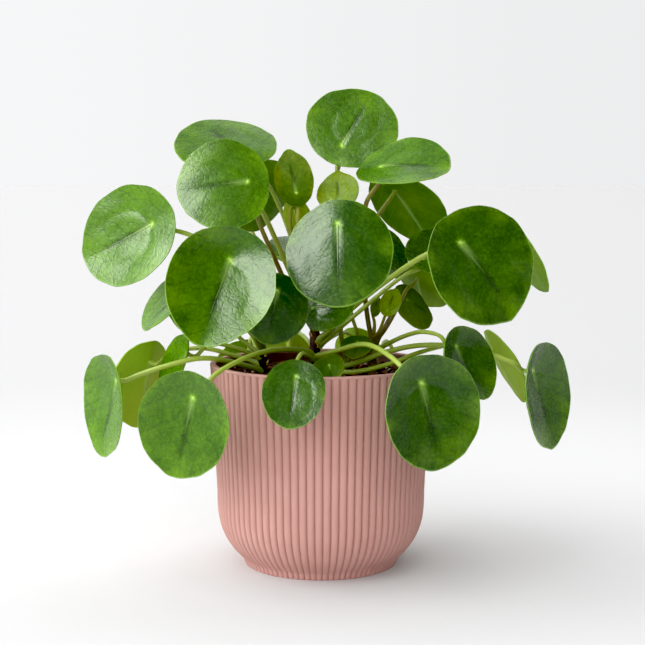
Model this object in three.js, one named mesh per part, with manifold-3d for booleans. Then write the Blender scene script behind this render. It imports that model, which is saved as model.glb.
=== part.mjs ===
// A round-leaved pilea growing in a ribbed terracotta pot.
//
// Millimetres, Z up. The origin is the middle of the pot's underside and the
// front of the plant faces -Y. Every leaf is one piece: a round blade held near
// its middle by a long stalk that grows from one of four short stems.
import * as THREE from 'three';
import { mergeVertices } from 'three/addons/utils/BufferGeometryUtils.js';
import Module from 'manifold-3d';

const wasm = await Module();
wasm.setup();

// Pot
const POT_HEIGHT = 128;
const POT_RIM_RADIUS = 70;
const POT_SHOULDER_RADIUS = 66;
const POT_SHOULDER_HEIGHT = 46;
const POT_BELLY_INSET = 15.5;
const POT_FOOT_RADIUS = 50;
const POT_FOOT_HEIGHT = 4.8;
const POT_LIP_HEIGHT = 1.2;
const POT_WALL = 3.6;
const POT_FLOOR = 6;
const RIB_COUNT = 85;
const RIB_DEPTH = 1.2;
const FIRST_GROOVE = THREE.MathUtils.degToRad(1.2);

// Soil
const SOIL_LEVEL = 120;
const SOIL_UNEVENNESS = 0.9;
const FIT_GAP = 0.3;

// Leaves
const BLADE_THICKNESS = 0.9;
const BLADE_SEGMENTS = 16;
const BLADE_RINGS = [0.55, 1];
const SMALL_BLADE = { under: 25, segments: 12, rings: [1] };
const HUB_OFFSET = 0.25;
const VALLEY_ROUNDING = 2.5;
const STALK_SIDES = 5;
const STALK_APPROACH = 6;
const STALK_MIN_STEPS = 2;
const STALK_STEP = 18;

const COLOURS = {
  pot: '#d39c90',
  soil: '#3a2a20',
  woodyStem: '#3b2618',
  greenStem: '#6b6a2c',
  leaf: '#3f7a1e',
  youngLeaf: '#7f9a35',
};

const plant = new THREE.Group();

// ---------------------------------------------------------------- solids

// A closed geometry as a solid that can be joined and cut.
function toSolid(geometry) {
  const bare = new THREE.BufferGeometry();
  bare.setAttribute('position', geometry.getAttribute('position').clone());
  if (geometry.index) {
    bare.setIndex(geometry.index.clone());
  }
  const merged = mergeVertices(bare, 1e-4);
  const corners = merged.index.array;
  const kept = [];
  for (let i = 0; i < corners.length; i += 3) {
    const [a, b, c] = [corners[i], corners[i + 1], corners[i + 2]];
    if (a !== b && b !== c && c !== a) {
      kept.push(a, b, c);
    }
  }
  return new wasm.Manifold(new wasm.Mesh({
    numProp: 3,
    vertProperties: new Float32Array(merged.getAttribute('position').array),
    triVerts: new Uint32Array(kept),
  }));
}

function toGeometry(solid) {
  const mesh = solid.getMesh();
  const geometry = new THREE.BufferGeometry();
  geometry.setAttribute('position', new THREE.BufferAttribute(mesh.vertProperties, 3));
  geometry.setIndex(new THREE.BufferAttribute(mesh.triVerts, 1));
  geometry.computeVertexNormals();
  return geometry;
}

// Cutting a stalk's root can leave a loose sliver, so the biggest body is kept.
function biggestBody(solid) {
  const bodies = solid.decompose();
  return bodies.reduce((best, body) => (body.volume() > best.volume() ? body : best));
}

function addPiece(name, solid, colour, roughness) {
  const material = new THREE.MeshStandardMaterial({ color: colour, roughness, metalness: 0 });
  const mesh = new THREE.Mesh(toGeometry(solid), material);
  mesh.name = name;
  plant.add(mesh);
}

// A turned body about the Z axis from a profile of [radius, height] pairs.
function turned(profile, segments, startAngle = 0) {
  const points = profile.map(([radius, height]) => new THREE.Vector2(radius, height));
  const geometry = new THREE.LatheGeometry(points, segments, startAngle, 2 * Math.PI);
  geometry.rotateX(Math.PI / 2);
  return geometry;
}

// ---------------------------------------------------------------- pot

// Outer radius over the ribs: a narrow foot, a rounded belly, a slightly
// flaring wall.
function potRadius(height) {
  if (height <= POT_FOOT_HEIGHT) {
    return POT_FOOT_RADIUS;
  }
  if (height < POT_SHOULDER_HEIGHT) {
    const below = (POT_SHOULDER_HEIGHT - height) / (POT_SHOULDER_HEIGHT - POT_FOOT_HEIGHT);
    return POT_SHOULDER_RADIUS - POT_BELLY_INSET * below ** 3;
  }
  const above = (height - POT_SHOULDER_HEIGHT) / (POT_HEIGHT - POT_SHOULDER_HEIGHT);
  return THREE.MathUtils.lerp(POT_SHOULDER_RADIUS, POT_RIM_RADIUS, above);
}

function potInnerRadius(height) {
  return potRadius(height) - POT_WALL;
}

const BELLY_HEIGHTS = [7, 10, 16, 24, 34];
const INNER_BELLY_HEIGHTS = [10, 16, 25, 46];
const INNER_SEGMENTS = 36;

// The ribs are cut as grooves into every second line of points around the wall.
// They stop at the thin plain lip.
function ribbedPotBody() {
  const lipStart = POT_HEIGHT - POT_LIP_HEIGHT;
  const ribbedHeights = [0, POT_FOOT_HEIGHT, ...BELLY_HEIGHTS, POT_SHOULDER_HEIGHT, lipStart];
  const profile = [[0, 0]];
  for (const height of ribbedHeights) {
    profile.push([potRadius(height), height]);
  }
  profile.push([POT_RIM_RADIUS, POT_HEIGHT]);
  profile.push([0, POT_HEIGHT]);

  const lines = 2 * RIB_COUNT;
  const startAngle = FIRST_GROOVE - (2 * Math.PI) / lines;
  const geometry = turned(profile, lines, startAngle);
  const position = geometry.getAttribute('position');
  for (let line = 1; line <= lines; line += 2) {
    for (let row = 1; row <= ribbedHeights.length; row += 1) {
      const at = line * profile.length + row;
      const radius = Math.hypot(position.getX(at), position.getY(at));
      const scale = (radius - RIB_DEPTH) / radius;
      position.setXY(at, position.getX(at) * scale, position.getY(at) * scale);
    }
  }
  return toSolid(geometry);
}

function potHollow() {
  const profile = [[0, POT_FLOOR]];
  for (const height of INNER_BELLY_HEIGHTS) {
    profile.push([potInnerRadius(height), height]);
  }
  profile.splice(1, 0, [potInnerRadius(INNER_BELLY_HEIGHTS[0]) - POT_WALL, POT_FLOOR]);
  const open = POT_HEIGHT + 1;
  profile.push([potInnerRadius(POT_HEIGHT), POT_HEIGHT]);
  profile.push([potInnerRadius(POT_HEIGHT), open]);
  profile.push([0, open]);
  return toSolid(turned(profile, INNER_SEGMENTS));
}

addPiece('pot', ribbedPotBody().subtract(potHollow()), COLOURS.pot, 0.85);

// ---------------------------------------------------------------- stems

// Every stem stands upright in the soil. `girth` is its radius, and the woody
// one swells at each old leaf scar.
const STEMS = {
  main: { x: -4, y: 0, bottom: 84, top: 187, girth: 3.9, tip: 2.6, scarStep: 10, scar: 0.5 },
  left: { x: -37, y: 1, bottom: 94, top: 141, girth: 3.4, tip: 2.4, scarStep: 8, scar: 0.3 },
  middle: { x: 18, y: 2, bottom: 100, top: 132, girth: 2.8, tip: 2, scarStep: 8, scar: 0.2 },
  right: { x: 33, y: 0, bottom: 92, top: 147, girth: 3.4, tip: 2.2, scarStep: 8, scar: 0.3 },
};
const STEM_SIDES = 8;

function stemSolid(stem) {
  const profile = [[0, stem.bottom], [stem.girth, stem.bottom]];
  const shoulder = stem.top - stem.scarStep / 2;
  let swollen = true;
  for (let height = SOIL_LEVEL - 4; height < shoulder; height += stem.scarStep / 2) {
    const up = (height - stem.bottom) / (stem.top - stem.bottom);
    const radius = THREE.MathUtils.lerp(stem.girth, stem.tip, up);
    profile.push([radius + (swollen ? stem.scar : 0), height]);
    swollen = !swollen;
  }
  profile.push([stem.tip, shoulder]);
  profile.push([stem.tip * 0.55, stem.top - 0.8]);
  profile.push([0, stem.top]);
  const geometry = turned(profile, STEM_SIDES);
  geometry.translate(stem.x, stem.y, 0);
  return toSolid(geometry);
}

// The plain room that a stem needs: its hole in the soil, and where the stalks
// of its leaves are cut off.
function stemRoom(stem) {
  const low = stem.bottom - FIT_GAP;
  const high = stem.top + FIT_GAP;
  const wide = (stem.girth + stem.scar + FIT_GAP) / Math.cos(Math.PI / STEM_SIDES);
  const narrow = (stem.tip + stem.scar + FIT_GAP) / Math.cos(Math.PI / STEM_SIDES);
  const geometry = turned([[0, low], [wide, low], [narrow, high], [0, high]], STEM_SIDES);
  geometry.translate(stem.x, stem.y, 0);
  return toSolid(geometry);
}

addPiece('main_stem', stemSolid(STEMS.main), COLOURS.woodyStem, 0.9);
addPiece('left_offset_stem', stemSolid(STEMS.left), COLOURS.woodyStem, 0.9);
addPiece('middle_offset_stem', stemSolid(STEMS.middle), COLOURS.greenStem, 0.8);
addPiece('right_offset_stem', stemSolid(STEMS.right), COLOURS.greenStem, 0.8);

const stemRooms = {};
for (const [name, stem] of Object.entries(STEMS)) {
  stemRooms[name] = stemRoom(stem);
}

// ---------------------------------------------------------------- soil

const SOIL_RINGS = [56, 42, 27, 12];

// The fill follows the pot's inner wall, and its top is gently uneven.
function soilSolid() {
  const bottom = POT_FLOOR + FIT_GAP;
  const edgeRadius = (height) => potInnerRadius(height) - FIT_GAP;
  const profile = [[0, bottom], [edgeRadius(INNER_BELLY_HEIGHTS[0]) - POT_WALL, bottom]];
  for (const height of INNER_BELLY_HEIGHTS) {
    profile.push([edgeRadius(height), height]);
  }
  profile.push([edgeRadius(SOIL_LEVEL), SOIL_LEVEL]);
  for (const radius of SOIL_RINGS) {
    profile.push([radius, SOIL_LEVEL]);
  }
  profile.push([0, SOIL_LEVEL]);
  const geometry = turned(profile, INNER_SEGMENTS);
  const position = geometry.getAttribute('position');
  for (let i = 0; i < position.count; i += 1) {
    const [x, y] = [position.getX(i), position.getY(i)];
    if (position.getZ(i) > SOIL_LEVEL - 0.01 && Math.hypot(x, y) < SOIL_RINGS[0] + 1) {
      const lump = Math.sin(0.31 * x + 1) * Math.cos(0.27 * y) + 0.6 * Math.sin(0.7 * x - 0.5 * y);
      position.setZ(i, SOIL_LEVEL + SOIL_UNEVENNESS * lump);
    }
  }
  let solid = toSolid(geometry);
  for (const stem of Object.values(stemRooms)) {
    solid = solid.subtract(stem);
  }
  return solid;
}

addPiece('soil', soilSolid(), COLOURS.soil, 1);

// ---------------------------------------------------------------- leaves

// How a leaf is described:
//   hub     where the stalk meets the blade
//   facing  the way the blade looks, in degrees: 0 to the front (-Y), 90 to +X
//   tilt    0 lies flat and looks up, 90 stands upright
//   turn    turns the tip about the hub, 0 hangs straight down
//   cup     how far the edge stands above the hub
//   fold    slope of the two halves up from the midrib
//   curl    how far the tip bends up (or back, if negative)
//   via     points that the stalk passes on its way up from `root` on its stem
const UPPER_LEAVES = [
  { hub: [13, -10, 264], facing: -6, tilt: 67, turn: 206, length: 54, width: 59, cup: 0, fold: 0.02,
    curl: -4, stem: 'middle', root: 126, via: [[14, 2, 138], [12, 2, 153], [9, -3, 173],
      [7, -4, 200], [8, -4, 237]] },
  { hub: [36, -34, 251], facing: -37, tilt: 31, turn: -100, length: 57, width: 54, cup: 0, fold: 0.17,
    curl: -12, stem: 'right', root: 137, via: [[29, 1, 160], [26, -6, 195], [28, -21, 229]] },
  { hub: [-51, -5, 260], facing: 2, tilt: 29, turn: 150, length: 67, width: 65, cup: -2, fold: -0.03,
    curl: 2, stem: 'main', root: 161, via: [[-10, 1, 169], [-17, 2, 180], [-34, -1, 218],
      [-47, -5, 243]] },
  { hub: [-44, -35, 242], facing: 10, tilt: 64, turn: 86, length: 55, width: 60, cup: -1, fold: 0.04,
    curl: -15, stem: 'main', root: 149, via: [[-11, -2, 158], [-19, -5, 172], [-26, -10, 188], [-37, -21,
      215]] },
  { hub: [-37, 30, 242], facing: -143, tilt: 63, turn: 12, length: 54, width: 52, cup: 4, fold: 0.1,
    curl: 3, stem: 'main', root: 181, via: [[-16, 11, 200], [-25, 22, 222]] },
  { hub: [48, 20, 236], facing: 140, tilt: 47, turn: 12, length: 59, width: 58, cup: -2, fold: 0.09,
    curl: -4, stem: 'main', root: 173, via: [[14, 3, 185], [27, 9, 207], [40, 14, 225]] },
  { hub: [-64, 66, 262], facing: -160, tilt: 65, turn: 0, length: 52, width: 50, cup: 3, fold: 0.1,
    curl: -4, stem: 'main', root: 163, via: [[-5, 24, 181], [-40, 54, 199], [-57, 68, 235]] },
  { hub: [24, 52, 283], facing: 170, tilt: 60, turn: 0, length: 40, width: 39, cup: 3, fold: 0.1,
    curl: -4, stem: 'main', root: 182, via: [[11, 9, 194], [11, 28, 225], [12, 42, 262]] },
];

const MIDDLE_LEAVES = [
  { hub: [-103, -25, 216], facing: -26, tilt: 74, turn: 62, length: 67, width: 64, cup: 1, fold: 0.09,
    curl: 1, stem: 'main', root: 158, via: [[-31, -20, 180], [-55, -26, 197], [-82, -22, 210]] },
  { hub: [-52, -75, 197], facing: 7, tilt: 66, turn: 20, length: 73, width: 62, cup: 6, fold: 0.25,
    curl: -4, stem: 'left', root: 137, via: [[-41, -8, 146], [-46, -25, 162], [-51, -48, 184]] },
  { hub: [-84, -25, 176], facing: -58, tilt: 48, turn: 20, length: 46, width: 44, cup: 2, fold: 0.12,
    curl: -2, stem: 'left', root: 135, via: [[-46, 2, 148], [-62, -5, 163]] },
  { hub: [-76, 14, 176], facing: -10, tilt: 80, turn: 0, length: 46, width: 44, cup: 2, fold: 0.1,
    curl: -3, stem: 'left', root: 132, via: [[-52, 12, 142], [-66, 19, 158]] },
  { hub: [10, -65, 218], facing: -9, tilt: 62, turn: -4, length: 66, width: 64, cup: -2, fold: -0.15,
    curl: -8, stem: 'main', root: 176, via: [[1, -25, 196], [7, -48, 210]] },
  { hub: [83, -50, 206], facing: 25, tilt: 72, turn: -36, length: 73, width: 75, cup: 0, fold: 0.15,
    curl: -8, stem: 'main', root: 140, via: [[9, -6, 152], [18, -13, 162], [37, -26, 179],
      [64, -45, 199]] },
  { hub: [122, 15, 202], facing: 103, tilt: 61, turn: 37, length: 52, width: 50, cup: 1, fold: 0.07,
    curl: 0, stem: 'main', root: 163, via: [[15, 9, 180], [41, 22, 190], [86, 20, 203]] },
  { hub: [39, 8, 204], facing: 46, tilt: 67, turn: 0, length: 34, width: 33, cup: 2, fold: 0.09,
    curl: 1, stem: 'main', root: 160, via: [[15, 5, 175], [28, 10, 190]] },
  { hub: [64, -10, 194], facing: -3, tilt: 39, turn: -113, length: 44, width: 44, cup: 3, fold: 0.02,
    curl: -2, stem: 'main', root: 136, via: [[18, -3, 155], [35, -7, 170], [53, -8, 184]] },
  { hub: [63, 20, 180], facing: 128, tilt: 49, turn: -28, length: 41, width: 40, cup: 2, fold: 0.11,
    curl: 0, stem: 'right', root: 139, via: [[41, -4, 150], [50, -1, 166], [55, 7, 174]] },
  { hub: [-26, -45, 177], facing: 15, tilt: 83, turn: 12, length: 43, width: 42, cup: 0, fold: 0.12,
    curl: -2, stem: 'main', root: 152, via: [[-17, -18, 166]] },
  { hub: [-5, -38, 166], facing: -33, tilt: 60, turn: -106, length: 33, width: 31, cup: -5, fold: 0.1,
    curl: -3, stem: 'main', root: 148, via: [[-4, -18, 158]] },
  { hub: [-13, 26, 195], facing: 0, tilt: 20, turn: 180, length: 46, width: 46, cup: 0, fold: 0.08,
    curl: -3, stem: 'main', root: 177, via: [[-8, 13, 183]] },
  { hub: [16, 64, 200], facing: 175, tilt: 72, turn: 0, length: 54, width: 52, cup: 3, fold: 0.12,
    curl: -5, stem: 'main', root: 168, via: [[4, 22, 188], [12, 44, 196]] },
  { hub: [104, 54, 195], facing: 125, tilt: 75, turn: 0, length: 56, width: 54, cup: 3, fold: 0.12,
    curl: -5, stem: 'main', root: 155, via: [[25, 18, 178], [60, 36, 194], [85, 47, 200]] },
  { hub: [-64, 55, 180], facing: -145, tilt: 78, turn: 0, length: 52, width: 50, cup: 3, fold: 0.12,
    curl: -5, stem: 'main', root: 156, via: [[-20, 14, 174], [-42, 34, 186]] },
];

const LOWER_LEAVES = [
  { hub: [-125, -35, 121], facing: -59, tilt: 89, turn: 15, length: 63, width: 62, cup: 6, fold: 0.06,
    curl: 1, stem: 'left', root: 122, via: [[-45, -8, 126], [-72, -28, 134], [-97, -32, 129],
      [-112, -32, 124]] },
  { hub: [-111, 15, 126], facing: -122, tilt: 80, turn: -5, length: 57, width: 56, cup: 0, fold: 0.22,
    curl: -1, stem: 'left', root: 126, via: [[-54, 12, 130], [-77, 22, 134], [-97, 23, 131]] },
  { hub: [-85, -5, 134], facing: -67, tilt: 72, turn: 5, length: 46, width: 44, cup: 3, fold: 0.2,
    curl: -2, stem: 'left', root: 130, via: [[-51, -1, 136], [-70, -3, 140]] },
  { hub: [-75, -70, 116], facing: -25, tilt: 84, turn: 10, length: 63, width: 62, cup: 4, fold: 0.07,
    curl: -3, stem: 'main', root: 133, via: [[-14, -11, 137], [-31, -30, 139], [-50, -52, 135],
      [-64, -62, 127]] },
  { hub: [-14, -85, 131], facing: -2, tilt: 56, turn: 6, length: 42, width: 37, cup: 0, fold: 0.08,
    curl: -5, stem: 'main', root: 129, via: [[-9, -20, 135], [-12, -50, 139], [-14, -70, 136]] },
  { hub: [58, -85, 127], facing: 29, tilt: 81, turn: -9, length: 67, width: 66, cup: 4, fold: 0.13,
    curl: -6, stem: 'main', root: 131, via: [[9, -18, 137], [28, -50, 145], [41, -68, 140],
      [50, -78, 132]] },
  { hub: [82, -40, 143], facing: 42, tilt: 76, turn: -14, length: 46, width: 43, cup: 5, fold: 0.04,
    curl: 10, stem: 'right', root: 134, via: [[45, -8, 142], [54, -16, 147], [63, -26, 150],
      [73, -34, 148]] },
  { hub: [111, 12, 135], facing: 103, tilt: 63, turn: 6, length: 52, width: 50, cup: 2, fold: 0.08,
    curl: 0, stem: 'main', root: 124, via: [[20, -18, 124], [45, -12, 129], [61, -3, 134], [88, 8, 138]] },
  { hub: [131, -25, 126], facing: 56, tilt: 84, turn: -13, length: 66, width: 63, cup: 6, fold: 0.08,
    curl: -1, stem: 'main', root: 127, via: [[16, -10, 127], [40, -8, 135], [62, -12, 140], [93, -20, 139],
      [118, -28, 131]] },
  { hub: [24, 74, 133], facing: 160, tilt: 80, turn: 0, length: 36, width: 34, cup: 2, fold: 0.1,
    curl: -3, stem: 'main', root: 130, via: [[2, 25, 137], [14, 50, 141], [20, 63, 138]] },
  { hub: [-23, 76, 131], facing: 195, tilt: 80, turn: 0, length: 40, width: 38, cup: 2, fold: 0.1,
    curl: -3, stem: 'main', root: 133, via: [[-8, 25, 138], [-16, 52, 141], [-20, 65, 137]] },
  { hub: [-52, 82, 120], facing: -150, tilt: 84, turn: 0, length: 50, width: 48, cup: 3, fold: 0.12,
    curl: -4, stem: 'left', root: 124, via: [[-42, 30, 132], [-46, 55, 137], [-49, 70, 130]] },
  { hub: [56, 80, 108], facing: 145, tilt: 86, turn: 0, length: 52, width: 50, cup: 3, fold: 0.12,
    curl: -4, stem: 'right', root: 127, via: [[38, 25, 131], [44, 52, 135], [50, 70, 124]] },
];

const YOUNG_LEAVES = [
  { hub: [-15, -22, 235], facing: -15, tilt: 87, turn: 166, length: 34, width: 25, cup: -2, fold: 0.07,
    curl: 0, stem: 'main', root: 185, via: [[-12, -10, 200], [-14, -17, 218]] },
  { hub: [11, -24, 229], facing: -20, tilt: 55, turn: 165, length: 30, width: 27, cup: 0, fold: 0.1,
    curl: 0, stem: 'middle', root: 123, via: [[23, 4, 144], [20, 5, 156], [17, -2, 172],
      [15, -5, 192], [12, -13, 216]] },
  { hub: [-16, -6, 226], facing: 150, tilt: 75, turn: 0, length: 24, width: 20, cup: 1, fold: 0.1,
    curl: 0, stem: 'main', root: 181, via: [[-17, -4, 205]] },
  { hub: [55, 7, 167], facing: 54, tilt: 59, turn: -62, length: 35, width: 33, cup: -4, fold: 0.06,
    curl: 1, stem: 'right', root: 135, via: [[44, 5, 156]] },
  { hub: [41, -21, 163], facing: 4, tilt: 72, turn: 205, length: 18, width: 13, cup: 2, fold: 0.12,
    curl: 1, stem: 'right', root: 142, via: [[37, -11, 150]] },
  { hub: [34, 0, 160], facing: 30, tilt: 95, turn: 187, length: 13, width: 8, cup: 1, fold: 0.1,
    curl: 0, stem: 'right', root: 144, via: [[34, 1, 152]] },
  { hub: [5, -52, 133], facing: -23, tilt: 52, turn: -26, length: 20, width: 20, cup: 4, fold: 0.1,
    curl: -1, stem: 'main', root: 126, via: [[0, -20, 130], [4, -38, 132]] },
  { hub: [23, -9, 142], facing: -10, tilt: 33, turn: 0, length: 21, width: 20, cup: 1, fold: 0.1,
    curl: -1, stem: 'middle', root: 128, via: [[20, -4, 135]] },
];

const UP = new THREE.Vector3(0, 0, 1);

// The blade's own directions: out of its face, toward its tip and to its side.
function bladeFrame(leaf) {
  const facing = THREE.MathUtils.degToRad(leaf.facing);
  const tilt = THREE.MathUtils.degToRad(leaf.tilt);
  const level = new THREE.Vector3(Math.sin(facing), -Math.cos(facing), 0);
  const out = level.clone().multiplyScalar(Math.sin(tilt)).addScaledVector(UP, Math.cos(tilt));
  const down = level.clone().multiplyScalar(Math.cos(tilt)).addScaledVector(UP, -Math.sin(tilt));
  const tip = down.applyAxisAngle(out, -THREE.MathUtils.degToRad(leaf.turn));
  const side = tip.clone().cross(out);
  return { out, tip, side };
}

// Half-round outline with a slight point at the tip, at `angle` from the tip.
function bladeOutline(leaf, angle, tipPoint) {
  const reach = 1 + tipPoint * Math.exp(-((angle / 0.3) ** 2));
  return {
    across: (leaf.width / 2) * Math.sin(angle) * reach,
    along: HUB_OFFSET * leaf.length + (leaf.length / 2) * Math.cos(angle) * reach,
  };
}

// Height of the blade above the hub's plane.
function bladeRise(leaf, across, along, ring) {
  const valley = Math.hypot(across, VALLEY_ROUNDING) - VALLEY_ROUNDING;
  const reach = along / leaf.length;
  return leaf.cup * ring ** 1.6 + leaf.fold * valley + leaf.curl * reach * Math.abs(reach);
}

// A thin round plate, meshed alike on both faces.
function bladeSolid(leaf, tipPoint) {
  const { out, tip, side } = bladeFrame(leaf);
  const hub = new THREE.Vector3(...leaf.hub);
  const small = leaf.length < SMALL_BLADE.under;
  const segments = small ? SMALL_BLADE.segments : BLADE_SEGMENTS;
  const rings = small ? SMALL_BLADE.rings : BLADE_RINGS;
  const points = [];
  const place = (across, along, rise) => {
    const point = hub.clone().addScaledVector(side, across).addScaledVector(tip, along);
    point.addScaledVector(out, rise);
    points.push(point.x, point.y, point.z);
  };
  for (const drop of [0, BLADE_THICKNESS]) {
    place(0, 0, -drop);
    for (const ring of rings) {
      for (let i = 0; i < segments; i += 1) {
        const angle = Math.PI * ((2 * i) / segments - 1);
        const edge = bladeOutline(leaf, angle, tipPoint);
        const [across, along] = [edge.across * ring, edge.along * ring];
        place(across, along, bladeRise(leaf, across, along, ring) - drop);
      }
    }
  }

  const perFace = 1 + rings.length * segments;
  const faces = [];
  const addBoth = (a, b, c) => {
    faces.push(a, c, b);
    faces.push(perFace + a, perFace + b, perFace + c);
  };
  for (let i = 0; i < segments; i += 1) {
    const next = (i + 1) % segments;
    addBoth(0, 1 + i, 1 + next);
    for (let ring = 1; ring < rings.length; ring += 1) {
      const inner = 1 + (ring - 1) * segments;
      const outer = inner + segments;
      addBoth(inner + i, outer + i, outer + next);
      addBoth(inner + i, outer + next, inner + next);
    }
    const rim = 1 + (rings.length - 1) * segments;
    faces.push(rim + i, perFace + rim + next, perFace + rim + i);
    faces.push(rim + i, rim + next, perFace + rim + next);
  }
  const geometry = new THREE.BufferGeometry();
  geometry.setAttribute('position', new THREE.Float32BufferAttribute(points, 3));
  geometry.setIndex(faces);
  return toSolid(geometry);
}

// A closed round bar along a curve, thinning from its root to its end.
function taperedBar(curve, steps, rootRadius, endRadius) {
  const frames = curve.computeFrenetFrames(steps, false);
  const points = [];
  const faces = [];
  for (let step = 0; step <= steps; step += 1) {
    const centre = curve.getPointAt(step / steps);
    const radius = THREE.MathUtils.lerp(rootRadius, endRadius, step / steps);
    for (let i = 0; i < STALK_SIDES; i += 1) {
      const angle = (2 * Math.PI * i) / STALK_SIDES;
      const point = centre.clone();
      point.addScaledVector(frames.normals[step], radius * Math.cos(angle));
      point.addScaledVector(frames.binormals[step], radius * Math.sin(angle));
      points.push(point.x, point.y, point.z);
    }
  }
  for (let step = 0; step < steps; step += 1) {
    for (let i = 0; i < STALK_SIDES; i += 1) {
      const next = (i + 1) % STALK_SIDES;
      const [low, high] = [step * STALK_SIDES, (step + 1) * STALK_SIDES];
      faces.push(low + i, low + next, high + next);
      faces.push(low + i, high + next, high + i);
    }
  }
  const end = steps * STALK_SIDES;
  for (let i = 1; i < STALK_SIDES - 1; i += 1) {
    faces.push(0, i + 1, i);
    faces.push(end, end + i, end + i + 1);
  }
  const geometry = new THREE.BufferGeometry();
  geometry.setAttribute('position', new THREE.Float32BufferAttribute(points, 3));
  geometry.setIndex(faces);
  return toSolid(geometry);
}

// The stalk starts on its stem's axis and meets the blade square from behind.
function stalkSolid(leaf) {
  const stem = STEMS[leaf.stem];
  const { out } = bladeFrame(leaf);
  const hub = new THREE.Vector3(...leaf.hub).addScaledVector(out, -BLADE_THICKNESS / 2);
  const approach = Math.min(STALK_APPROACH, leaf.length / 5);
  const route = [new THREE.Vector3(stem.x, stem.y, leaf.root)];
  for (const point of leaf.via) {
    route.push(new THREE.Vector3(...point));
  }
  route.push(hub.clone().addScaledVector(out, -approach));
  route.push(hub);
  const curve = new THREE.CatmullRomCurve3(route, false, 'centripetal');
  const steps = Math.round(STALK_MIN_STEPS + curve.getLength() / STALK_STEP);
  const rootRadius = 0.85 + 0.013 * leaf.length;
  return taperedBar(curve, steps, rootRadius, 0.8 * rootRadius);
}

function addLeaf(name, leaf, colour, tipPoint) {
  const joined = bladeSolid(leaf, tipPoint).add(stalkSolid(leaf));
  const trimmed = joined.subtract(stemRooms[leaf.stem]);
  addPiece(name, biggestBody(trimmed), colour, 0.35);
}

const GROWN_TIP_POINT = 0.04;
const YOUNG_TIP_POINT = 0.12;
UPPER_LEAVES.forEach((leaf, i) => addLeaf(`upper_leaf_${i + 1}`, leaf, COLOURS.leaf, GROWN_TIP_POINT));
MIDDLE_LEAVES.forEach((leaf, i) => addLeaf(`middle_leaf_${i + 1}`, leaf, COLOURS.leaf, GROWN_TIP_POINT));
LOWER_LEAVES.forEach((leaf, i) => addLeaf(`lower_leaf_${i + 1}`, leaf, COLOURS.leaf, GROWN_TIP_POINT));
YOUNG_LEAVES.forEach((leaf, i) => addLeaf(`young_leaf_${i + 1}`, leaf, COLOURS.youngLeaf, YOUNG_TIP_POINT));

export default plant;
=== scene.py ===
# A round-leaved pilea in a ribbed terracotta-pink pot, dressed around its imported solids.
# Metres, Z up, the front towards -Y; lengths written in millimetres are turned by `mm`.
import math

import bmesh
import bpy
import numpy as np
from mathutils import Matrix, Vector, noise


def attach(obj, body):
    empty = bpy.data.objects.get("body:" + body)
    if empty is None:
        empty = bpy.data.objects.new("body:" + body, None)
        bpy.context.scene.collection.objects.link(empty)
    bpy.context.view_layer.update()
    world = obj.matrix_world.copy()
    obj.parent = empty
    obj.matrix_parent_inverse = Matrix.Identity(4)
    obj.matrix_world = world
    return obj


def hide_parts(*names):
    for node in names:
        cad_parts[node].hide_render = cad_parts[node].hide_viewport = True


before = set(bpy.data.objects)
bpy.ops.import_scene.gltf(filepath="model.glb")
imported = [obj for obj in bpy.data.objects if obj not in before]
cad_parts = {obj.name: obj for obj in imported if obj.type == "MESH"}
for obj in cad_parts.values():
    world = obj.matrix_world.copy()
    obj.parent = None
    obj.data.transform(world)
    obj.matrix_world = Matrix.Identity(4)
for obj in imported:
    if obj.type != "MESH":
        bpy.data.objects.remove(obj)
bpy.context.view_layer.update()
scene = bpy.context.scene
mm = 0.001


# ---------------------------------------------------------------- the stage
# The plant stands on a pale floor that runs out of sight, painted lighter near the plant
# and darker to the right as light and shade. A softbox to the upper left, a fill beside the
# camera and a window on the left light it, all of them broad and far away, in a room that
# is bright behind and to the left.

eye = Vector((1.08, -890, 246)) * mm
look_down = 5.96
lens = 79.03
film_width = 36
black_level = 0.013

camera = bpy.data.objects.new("camera", bpy.data.cameras.new("camera"))
camera.data.lens = lens
camera.data.sensor_width = film_width
camera.data.sensor_fit = "HORIZONTAL"
camera.data.clip_start = 0.01
camera.location = eye
camera.rotation_euler = (math.radians(90 - look_down), 0, 0)
scene.collection.objects.link(camera)
scene.camera = camera
scene.view_settings.view_transform = "Standard"
scene.view_settings.use_curve_mapping = True
scene.view_settings.curve_mapping.black_level = (black_level, black_level, black_level)


def soft_light(name, side, height, strength, spread, sheen=False):
    """A broad light far away: degrees to the side of the camera and above the floor.
    It gives light and shadow, or else only the sheen on what it meets."""
    lamp = bpy.data.objects.new(name, bpy.data.lights.new(name, "SUN"))
    lamp.data.energy = strength
    lamp.data.angle = math.radians(spread)
    side, height = math.radians(side), math.radians(height)
    level = Vector((math.sin(side), -math.cos(side), 0))
    towards = level * math.cos(height) + Vector((0, 0, math.sin(height)))
    lamp.rotation_euler = towards.to_track_quat("Z", "Y").to_euler()
    lamp.visible_glossy = sheen
    lamp.visible_diffuse = not sheen
    scene.collection.objects.link(lamp)


soft_light("softbox", side=-55, height=43, strength=2.25, spread=80)
soft_light("softbox sheen", side=-55, height=43, strength=2.45, spread=34, sheen=True)
soft_light("fill", side=6, height=14, strength=1.65, spread=60)
soft_light("window", side=-88, height=16, strength=2.4, spread=70)


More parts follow.
